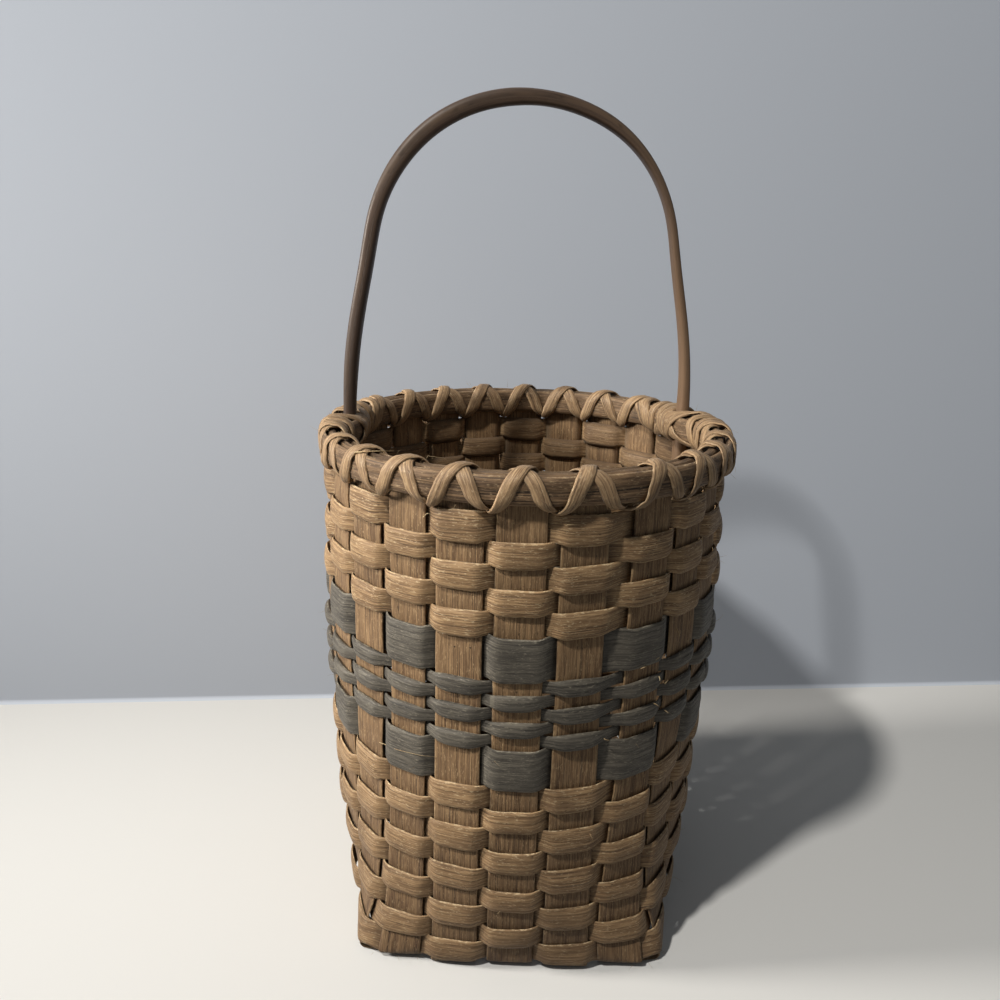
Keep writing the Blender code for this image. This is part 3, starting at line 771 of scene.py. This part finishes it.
def rim_growth(places):
    """How much thicker the outer hoop is at places of the ring: thin at the left end, stout at the right."""
    left, right = (np.abs((np.asarray(places) - middle + STAKES / 2) % STAKES - STAKES / 2) for middle in (17.8, 6.2))
    return RIGHT_RIM_GROWTH * np.exp(-((right / 1.6) ** 2)) - LEFT_RIM_LOSS * np.exp(-((left / 2.2) ** 2))


def rim_frames(places, angles, lift):
    """Points on the rounded outside of the two hoops. Angle 0 is the outside."""
    cosine, sine = np.cos(angles), np.sin(angles)
    thick = RIM_HALF_THICKNESS + lift + np.where(cosine < 0, foot_bulge(places) * 1.04, rim_growth(places))
    x = np.sign(cosine) * np.abs(cosine) ** (2 / RIM_SQUARENESS) * thick
    z = np.sign(sine) * np.abs(sine) ** (2 / RIM_SQUARENESS) * (RIM_HALF_HEIGHT + lift)
    here, _, out = flat_frames(places, HOOP_MIDDLE + z)
    return here + out * x[:, None]


def wound(name, places, angles, lift, half, thickness, section, node, crown, grain, wear_and_painted_light=0.6):
    """A strip wound round the rim by its places and angles."""
    middle = relax(rim_frames(places, angles, lift), 1)
    inner = rim_frames(places, angles, lift - 0.0005)
    run = unit(np.roll(middle, -1, 0) - np.roll(middle, 1, 0))
    out = middle - inner
    out = unit(out - run * (out * run).sum(axis=1, keepdims=True))
    return strip(
        name, middle, unit(np.cross(run, out)), out, half, thickness, section, "lashing_splint", node,
        crown=crown, closed=True, grain=grain, wear_and_painted_light=wear_and_painted_light, ridge_length=9,
    )


def lasher(node, way, level):
    """A flat reed wound round both hoops, through each gap between the stakes, and past the handle's feet."""
    beside = CROWN_SHARE + (HANDLE_ROOM + LASHER_WIDTH / 2 + CLEARANCE) / RIM_PITCH
    gaps = [stake + 0.5 for stake in range(STAKES)]
    gaps = [gap for gap in gaps if min(abs(gap - RIGHT_FOOT), abs(gap - LEFT_FOOT)) > 0.5][::way]
    places, angles = [], []
    for here, after in zip(gaps, gaps[1:] + gaps[:1]):
        advance = (after - here) * way % STAKES
        crown = here + way * 0.5
        for foot in (RIGHT_FOOT, LEFT_FOOT):
            if abs(foot - crown) < beside:
                crown = foot - way * beside
        before = (crown - here) * way
        share = np.arange(LASHER_STEPS) / LASHER_STEPS
        run = np.where(share < 0.5, share * 2 * before, before + (share - 0.5) * 2 * (advance - before))
        places.append(here + way * run)
        angles.append(-math.pi / 2 + share * 2 * math.pi)
    places, angles = np.concatenate(places), np.concatenate(angles)
    count = len(places)
    lift = LASHER_SEAT + level * LASHER_LAYER * (0.15 + 0.85 * np.sin(angles) ** 2)
    bottom = np.clip(-np.sin(angles), 0, 1) ** 2.5
    half = LASHER_WIDTH / 2 * (1 - 0.42 * bottom) * (1 + 0.06 * smooth_noise(count, 53))
    return wound(
        node + "_reed", places, angles, lift + LASHER_DROOP * bottom, half, LASHER_THICKNESS,
        splint_section(6, LASHER_RELIEF, 4), node, LASHER_CROWN, 11.3 + level,
        0.62 + 0.2 * smooth_noise(count, 61),
    )


LASHER_RELIEF = 0.00013
LASHER_CROWN = 0.00035
LASHER_DROOP = 0.0006


def rim_filler():
    """The reed that fills the top of the rim between the two hoops, where they part round the handle's feet."""
    count = STAKES * ROW_STEPS
    places = ROW_SEAM_PLACE + np.arange(count) / ROW_STEPS
    here, _, out = flat_frames(places, np.full(count, HOOP_TOP - 0.0014))
    parting = foot_bulge(places)
    upright = np.tile([0.0, 0.0, 1.0], (count, 1))
    strip(
        "rim_filler", relax(here - out * (parting / 2)[:, None], 3), relax(out, 3), upright, parting / 2 + 0.0015,
        0.0030, splint_section(8, HOOP_RELIEF, 2.4), "hoop", closed=True, grain=21.3, wear_and_painted_light=0.3,
    )


def foot_wraps():
    """Reed wound closely over the rim beside each foot of the handle."""
    share = np.arange(LASHER_STEPS) / LASHER_STEPS
    angles = share * 2 * math.pi
    for number, (gap, top) in enumerate(FOOT_WRAPS, 1):
        places = gap + (top - gap) * (1 + np.sin(angles)) / 2
        bottom = np.clip(-np.sin(angles), 0, 1) ** 2
        half = WRAP_WIDTH / 2 * (1 - 0.35 * bottom) * (1 + 0.05 * smooth_noise(LASHER_STEPS, 4))
        lift = WRAP_LIFT * (1 + 0.25 * math.sin(3.1 * number)) + 0.0001 * smooth_noise(LASHER_STEPS, 5)
        wound(
            f"rim_foot_wrap_{number:02d}", places, angles, lift, half, WRAP_THICKNESS,
            splint_section(5, LASHER_RELIEF, 2.8), None, LASHER_CROWN, 15.1 + 0.7 * number, 0.6,
        )


def arm(foot, leg_way, end, end_way):
    """Points from a foot of the handle to its arch, on a curve that leaves the rim the way the leg goes."""
    reach = np.linalg.norm(end - foot)
    share = np.arange(1, ARM_STEPS)[:, None] / ARM_STEPS
    rest = 1 - share
    away = leg_way * reach * HANDLE_FULLNESS_SHARE * share * rest**2
    home = end_way * reach * rest * share**2
    return foot * rest**2 * (1 + 2 * share) + away + end * share**2 * (1 + 2 * rest) - home


def round_section(points, power):
    """Across shares and normal shares of a rounded section, first its outside and then its inside."""
    turns = math.pi - np.arange(2 * points) * math.pi / points
    cosine, sine = np.cos(turns), np.sin(turns)
    shares = np.sign(cosine) * np.abs(cosine) ** (2 / power)
    lifts = np.sign(sine) * np.abs(sine) ** (2 / power)
    return shares, lifts, np.zeros(2 * points)


def handle(node):
    """The bow: legs inside the stakes and behind the inner hoop, curved arms and a round arch."""
    seat = HOOP_TOP + HANDLE_SEAT
    heights = np.linspace(HOOP_BOTTOM - HANDLE_TAIL, seat, 26)
    legs = []
    for foot in (LEFT_FOOT, RIGHT_FOOT):
        here, across, out = flat_frames(np.full(heights.size, foot), heights)
        legs.append((here - out * HANDLE_OFFSET, np.where(across[:, 1:2] > 0, across, -across)))
    left, right = legs[0][0][-1], legs[1][0][-1]
    middle = (left + right) / 2
    half = np.linalg.norm(right - left) / 2
    span = unit(right - left)
    square = np.array([-span[1], span[0], 0.0])
    centre = HOOP_TOP + HANDLE_RISE - HANDLE_THICKNESS / 2 - HANDLE_RADIUS - seat
    start = math.acos(HANDLE_RADIUS / math.hypot(half, centre)) - math.atan2(centre, half)
    angles = np.linspace(math.pi - start, start, ARCH_STEPS)
    arch = middle + span * (HANDLE_RADIUS * np.cos(angles))[:, None]
    arch[:, 2] += centre + HANDLE_RADIUS * np.sin(angles)
    sides = []
    for (leg, beside), end, inward in ((legs[0], arch[0], span), (legs[1], arch[-1], -span)):
        end_way = inward * math.sin(start) + np.array([0, 0, math.cos(start)])
        points = arm(leg[-1], unit(leg[-1] - leg[-2]), end, end_way)
        shares = np.arange(1, ARM_STEPS)[:, None] / ARM_STEPS
        turns = unit(beside[-1] + (square - beside[-1]) * shares)
        sides.append((np.vstack([leg, points]), np.vstack([beside, turns])))
    path = np.vstack([sides[0][0], arch, sides[1][0][::-1]])
    across = np.vstack([sides[0][1], np.tile(square, (ARCH_STEPS, 1)), sides[1][1][::-1]])
    path = relax(path, 4, closed=False)
    out = unit(np.cross(unit(np.gradient(path, axis=0)), across))
    hub = middle + np.array([0, 0, centre * 0.5])
    out = out * np.sign(((path - hub) * out).sum())
    on_left = (path - middle) @ span < 0
    outside, inside = (
        np.where(on_left, np.interp(path[:, 2], BOW_HEIGHTS, lefts), np.interp(path[:, 2], BOW_HEIGHTS, rights))
        * MILLIMETRE
        for lefts, rights in ((LEFT_OUTSIDE, RIGHT_OUTSIDE), (LEFT_INSIDE, RIGHT_INSIDE))
    )
    inside = inside * (path[:, 2] > HOOP_TOP)
    outside, inside = (relax(growth[:, None], 14, closed=False)[:, 0] for growth in (outside, inside))
    path = relax(path + out * ((outside - inside) / 2)[:, None], 10, closed=False)
    out = relax(out, 10, closed=False)
    rises = path[:, 2]
    twist = smooth_step(rises, seat, seat + 0.02) * (1 - smooth_step(rises, 0.262, 0.300))
    twist = (LEFT_TWIST * twist * on_left)[:, None]
    out, across = out * np.cos(twist) + across * np.sin(twist), across * np.cos(twist) - out * np.sin(twist)
    count = len(path)
    width = HANDLE_WIDTH / 2 * (1 + 0.03 * smooth_noise(count, 9, closed=False))
    thickness = HANDLE_THICKNESS + outside + inside + 0.0001 * smooth_noise(count, 11, closed=False)
    # Painted light and shade: this value makes the right arm paler and the left arm darker towards their feet.
    return strip(
        node + "_wood", path, across, out, width, thickness, round_section(11, 2.7), "handle_wood", node, grain=2.3,
        wear_and_painted_light=0.5 + 0.5 * np.where(on_left, -1, 1) * np.clip((path[:, 2].max() - path[:, 2]) / HANDLE_RISE, 0, 1),
    )


def project(points):
    """Pixels of points in the picture."""
    seen = np.array(bpy.context.scene.camera.matrix_world.inverted())
    local = points @ seen[:3, :3].T + seen[:3, 3]
    return np.stack([PICTURE / 2 + PICTURE * local[:, 0] / -local[:, 2],
                     PICTURE / 2 - PICTURE * local[:, 1] / -local[:, 2]], axis=-1)


def outer_face(places, heights):
    """Points on the outermost splint of the wall, with their outward directions."""
    here, _, out = flat_frames(places, heights)
    offset = np.full(len(here), STAKE_THICKNESS / 2 + STAKE_CROWN)
    for number, (_, kind, centre, _, shown) in enumerate(ROWS, 1):
        bulge, _, _, softness, thickness, _, _, crown = ROW_LOOKS[kind]
        side = over_under(places, number, softness)
        row = side * (bulge + crown) + thickness / 2
        offset = np.where(np.abs(heights - centre) < shown / 2, np.maximum(offset, row), offset)
    return here + out * offset[:, None], out


def at_pixels(pixels):
    """Places and heights on the front of the wall that show at pixels of the photograph."""
    places, heights = (grid.ravel() for grid in np.meshgrid(np.arange(-6.5, 6.5, 0.02), np.arange(0.002, 0.17, 0.0005)))
    faces, _ = outer_face(places, heights)
    seen = project(faces)
    near = [int(np.argmin(np.linalg.norm(seen - np.array(pixel), axis=1))) for pixel in pixels]
    return places[near], heights[near]


def fibre_mesh(name, lines, radius):
    """Thin three sided fibres, thick at their root and fine at their tip, in one mesh."""
    vertices, faces = [], []
    for line in lines:
        line = np.array(line)
        run = unit(np.gradient(line, axis=0))
        side = unit(np.cross(run, np.array([0.31, 0.52, 0.79])))
        lift = np.cross(run, side)
        base, steps = len(vertices), len(line)
        sizes = radius * np.linspace(1, 0.3, steps)[:, None]
        rings = [line + sizes * (side * math.cos(turn) + lift * math.sin(turn)) for turn in (0, 2.094, 4.189)]
        vertices += np.stack(rings, axis=1).reshape(-1, 3).tolist()
        for step in range(steps - 1):
            low = base + 3 * step
            for lane in range(3):
                beside = (lane + 1) % 3
                faces.append((low + lane, low + beside, low + 3 + beside, low + 3 + lane))
        faces += [(base + 2, base + 1, base), tuple(base + 3 * (steps - 1) + lane for lane in range(3))]
    mesh = bpy.data.meshes.new(name)
    mesh.from_pydata(vertices, [], faces)
    return mesh


def bent_lines(roots, ways, lengths):
    """Curled lines from their roots, each with a sideways bend of its own."""
    lines = []
    for root, way, length in zip(roots, ways, lengths):
        curl = unit(np.cross(way, noise.normal(size=3))) * noise.uniform(-0.9, 0.9)
        share = np.linspace(0, 1, 6)[:, None]
        lines.append(root + length * (way * share + curl * share**2))
    return lines


def loose_fibres():
    """Hairs that stand out of the rim, the wall and the base."""
    count = 90
    places, angles = noise.uniform(0, STAKES, count), noise.uniform(-1.2, 2.0, count)
    roots = rim_frames(places, angles, LASHER_SEAT + LASHER_LAYER)
    ways = unit(unit(roots - rim_frames(places, angles, -0.001)) + noise.normal(size=(count, 3)) * 0.8)
    lines = bent_lines(roots, ways, noise.uniform(0.001, 0.0042, count))
    count = 130
    places, heights = noise.uniform(0, STAKES, count), noise.uniform(0.002, 0.17, count)
    roots, out = outer_face(places, heights)
    ways = unit(out * 0.6 + noise.normal(size=(count, 3)) * 0.8)
    lines += bent_lines(roots, ways, noise.uniform(0.001, 0.0045, count))
    count = 24
    places = noise.uniform(-7, 7, count)
    roots, out = outer_face(places, np.full(count, 0.002))
    ways = unit(out + noise.normal(size=(count, 3)) * 0.5) * np.array([1, 1, 0.02])
    lines += bent_lines(roots, ways, noise.uniform(0.001, 0.004, count))
    mesh = fibre_mesh("loose_fibres", lines, 0.00006)
    piece_of("loose_fibres", mesh, fibre_material("loose fibre", tone(196, 172, 132), tone(128, 104, 76)))


def splinters():
    """The splinter and the looped hair on the rim, pale fibres and chips on the wall, and two dark beads of painted
    shade for wormholes.
    """
    splinter = at_rim((355, 452), (375, 451), (394.5, 447.5), lift=0.0005)
    loop = at_rim((426, 460), (428, 454), (435.5, 449.5), (444, 454), (448, 461), lift=0.001)
    mesh = fibre_mesh("rim_splinter", [splinter], 0.00032)
    pale = fibre_material("pale splinter", tone(214, 192, 150), tone(170, 142, 104))
    piece_of("rim_splinter", mesh, pale)
    lines = []
    for marks in LINES:
        faces, out = outer_face(*at_pixels(marks))
        lines.append(faces + out * 0.00035)
    mesh = fibre_mesh("pale_fibres", lines, 0.00016)
    piece_of("pale_fibres", mesh, pale)
    mesh = fibre_mesh("rim_hair", [loop], 0.00007)
    piece_of("rim_hair", mesh, pale)
    faces, out = outer_face(*at_pixels(FLECKS[:-1]))
    ways = unit(out + noise.normal(size=out.shape) * 0.7)
    mesh = fibre_mesh("pale_chips", bent_lines(faces, ways, np.full(len(faces), 0.0018)), 0.00028)
    piece_of("pale_chips", mesh, pale)
    # Painted shade: dark beads stand where two wormholes are, for the shade inside them.
    faces, out = outer_face(*at_pixels(PITS))
    pits = [face + way * np.array([[-0.0003], [0.00024], [0.0003]]) for face, way in zip(faces, out)]
    mesh = fibre_mesh("worm_hole_shade", pits, 0.00055)
    piece_of("worm_hole_shade", mesh, fibre_material("painted wormhole shade", tone(34, 24, 17), tone(22, 15, 10)))


def at_rim(*pixels, lift):
    """Points over the rim's top that show at pixels of the photograph."""
    places, angles = (
        grid.ravel() for grid in np.meshgrid(np.arange(-6, 1, 0.02), np.linspace(0.2, 2.6, 60))
    )
    points = rim_frames(places, angles, LASHER_SEAT + LASHER_LAYER + lift)
    seen = project(points)
    return points[[int(np.argmin(np.linalg.norm(seen - np.array(pixel), axis=1))) for pixel in pixels]]


def stage_material(name, shown, lit):
    """A plain pale stage colour for the camera and for gloss, and a deeper one for the light it throws back."""
    material, tree, shader = new_material(name)
    path = add(tree, "ShaderNodeLightPath")
    seen = maths(tree, "MAXIMUM", path.outputs["Is Camera Ray"], path.outputs["Is Glossy Ray"])
    seen = maths(tree, "MAXIMUM", seen, path.outputs["Is Transmission Ray"])
    tree.links.new(blend(tree, seen, lit, shown), shader.inputs["Base Color"])
    shader.inputs["Roughness"].default_value = 0.85
    shader.inputs["Specular IOR Level"].default_value = 0.1
    clear = add(tree, "ShaderNodeBsdfTransparent")
    one_sided = add(tree, "ShaderNodeMixShader", Fac=add(tree, "ShaderNodeNewGeometry").outputs["Backfacing"])
    tree.links.new(shader.outputs["BSDF"], one_sided.inputs[1])
    tree.links.new(clear.outputs["BSDF"], one_sided.inputs[2])
    tree.links.new(one_sided.outputs["Shader"], tree.nodes["Material Output"].inputs["Surface"])
    return material


def stage():
    """A pale floor and a pale wall close behind the basket, turned a little from the camera. Neither shows from
    its back, so the basket is seen from behind too."""
    half, reach, height, cove = 1.6, 1.2, 1.6, 0.002
    angles = np.linspace(-math.pi / 2, 0, 9)
    curve = [(cove * math.cos(angle) - cove, cove + cove * math.sin(angle)) for angle in angles]
    parts = {
        "floor": ([(-reach, 0), (reach, 0)], (FLOOR_SHOWN, FLOOR_LIT)),
        "backdrop": ([*curve, (0, height)], (WALL_SHOWN, WALL_LIT)),
    }
    for name, (line, colours) in parts.items():
        vertices = []
        for mark in line:
            for x in (-half, half):
                foot = 0 if name == "floor" else BACKDROP_PLACE + BACKDROP_TURN * x
                vertices.append((x, foot + mark[0], mark[1] - 0.0001))
        faces = [(2 * step, 2 * step + 1, 2 * step + 3, 2 * step + 2) for step in range(len(line) - 1)]
        mesh = bpy.data.meshes.new(name)
        mesh.from_pydata(vertices, [], faces)
        mesh.shade_smooth()
        part = bpy.data.objects.new(name, mesh)
        bpy.context.scene.collection.objects.link(part)
        mesh.materials.append(stage_material("pale " + name, *colours))


BACKDROP_PLACE = 0.143
BACKDROP_TURN = 0.12
FLOOR_SHOWN = tone(222, 222, 220)
FLOOR_LIT = tone(128, 126, 122)
WALL_SHOWN = tone(200, 207, 218)
WALL_LIT = tone(140, 144, 150)


def disk_light(name, place, target, size, power, colour, spread=math.pi):
    data = bpy.data.lights.new(name, "AREA")
    data.shape = "DISK"
    data.spread = spread
    data.size = size
    data.energy = power
    data.color = colour
    light = bpy.data.objects.new(name, data)
    light.location = place
    light.rotation_euler = (Vector(target) - Vector(place)).to_track_quat("-Z", "Y").to_euler()
    bpy.context.scene.collection.objects.link(light)


def lighting():
    """A key from the front left, a softer lamp from the left, a weak fill and a surround that the camera sees pale."""
    target = Vector((0, 0, 0.12))
    key = target + KEY_DISTANCE * Vector((
        -math.cos(KEY_RISE) * math.sin(KEY_TURN), -math.cos(KEY_RISE) * math.cos(KEY_TURN), math.sin(KEY_RISE)
    ))
    disk_light("key", key, target, KEY_SIZE, KEY_POWER, (1.0, 0.965, 0.91))
    disk_light("side", SIDE_PLACE, target, SIDE_SIZE, SIDE_POWER, (1.0, 0.95, 0.88), SIDE_SPREAD)
    disk_light("fill", (0.75, -0.65, 0.35), target, 0.7, FILL_POWER, (0.93, 0.96, 1.0))
    world = bpy.data.worlds.new("surround")
    world.use_nodes = True
    tree = world.node_tree
    path = add(tree, "ShaderNodeLightPath")
    seen = maths(tree, "MAXIMUM", path.outputs["Is Camera Ray"], path.outputs["Is Transmission Ray"])
    colour = blend(tree, seen, tuple(WORLD_LEVEL * part for part in (0.90, 0.95, 1.0)), WALL_SHOWN)
    tree.links.new(colour, tree.nodes["Background"].inputs["Color"])
    bpy.context.scene.world = world


KEY_TURN = math.radians(41)
KEY_RISE = math.radians(52)
KEY_DISTANCE = 1.3
KEY_SIZE = 0.09
KEY_POWER = 12.0
SIDE_PLACE = (-0.98, -0.15, 0.48)
SIDE_SIZE = 0.20
SIDE_SPREAD = math.radians(46)
SIDE_POWER = 0.84
FILL_POWER = 0.15
WORLD_LEVEL = 0.125


def camera():
    data = bpy.data.cameras.new("camera")
    data.lens = CAMERA_LENS
    data.sensor_width = CAMERA_LENS
    made = bpy.data.objects.new("camera", data)
    place = Matrix.Translation((0, -CAMERA_DISTANCE, HOOP_MIDDLE + CAMERA_OVER_RIM))
    turn = Euler((math.pi / 2 - CAMERA_PITCH, 0, CAMERA_YAW)).to_matrix().to_4x4()
    made.matrix_world = place @ turn @ Matrix.Rotation(CAMERA_ROLL, 4, "Z")
    bpy.context.scene.collection.objects.link(made)
    bpy.context.scene.camera = made


camera()
lighting()
stage()
splints()
for row_number, row in enumerate(ROWS, 1):
    weaver(row_number, *row)
hoop("rim_outer_hoop", 1)
hoop("rim_inner_hoop", -1)
lasher("rim_lasher_under", -1, 0)
lasher("rim_lasher_over", 1, 1)
foot_wraps()
rim_filler()
handle("bow_handle")
loose_fibres()
splinters()

bpy.context.scene.view_settings.view_transform = "Standard"
